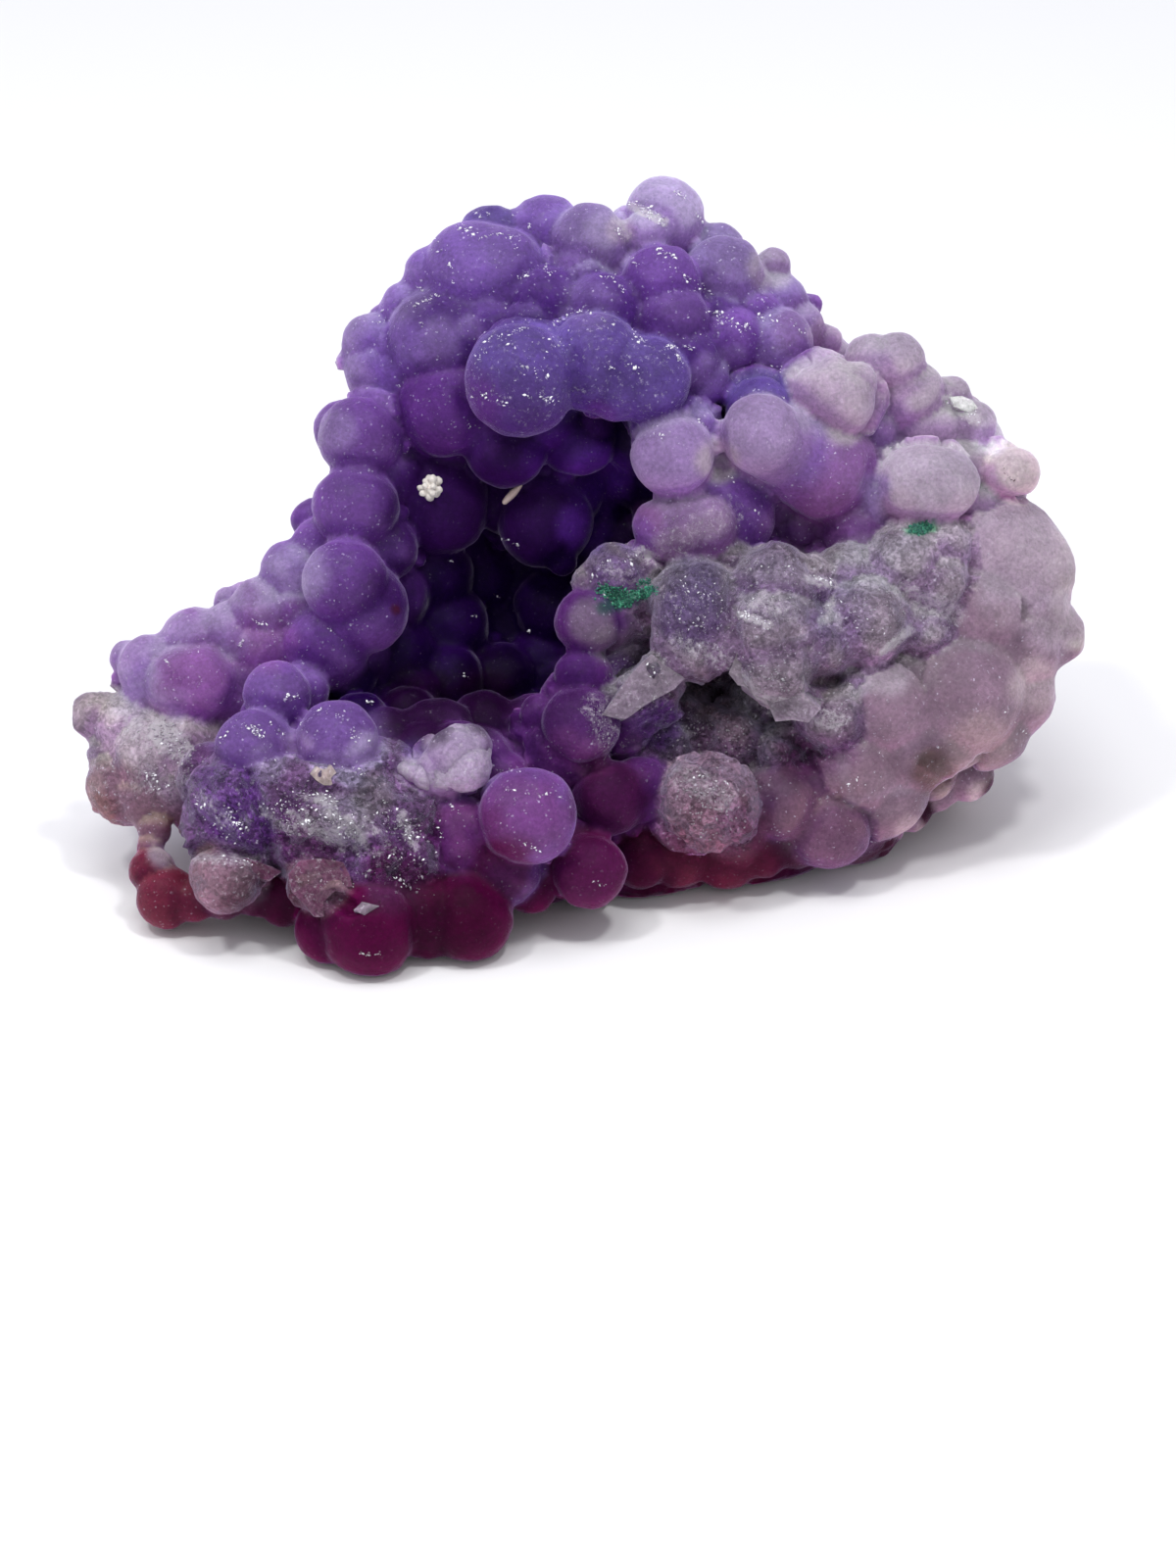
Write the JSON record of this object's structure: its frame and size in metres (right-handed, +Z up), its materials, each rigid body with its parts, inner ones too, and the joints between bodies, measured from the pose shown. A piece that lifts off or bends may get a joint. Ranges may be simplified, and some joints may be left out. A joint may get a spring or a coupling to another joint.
{
  "type": "botryoidal chalcedony",
  "caption": "Mass of fused grape-like purple chalcedony lobes round a deep hollow, broken off flat below so that it rests level.",
  "frame": {"origin": "on the flat break that the mass rests on, near the middle of it", "axes": "+Z up, +X to the right across the mass as its hollow faces the viewer, -Y toward the viewer"},
  "size_m": [0.0517, 0.0348, 0.032],
  "materials": {
    "chalcedony": "waxy, translucent purple, frosted at the rims",
    "white_crumb": "chalky white",
    "cream_splinter": "chalky cream"
  },
  "bodies": {
    "root": {"chalcedony": "chalcedony", "white_crumb": "white_crumb", "cream_splinter": "cream_splinter"}
  },
  "joints": []
}
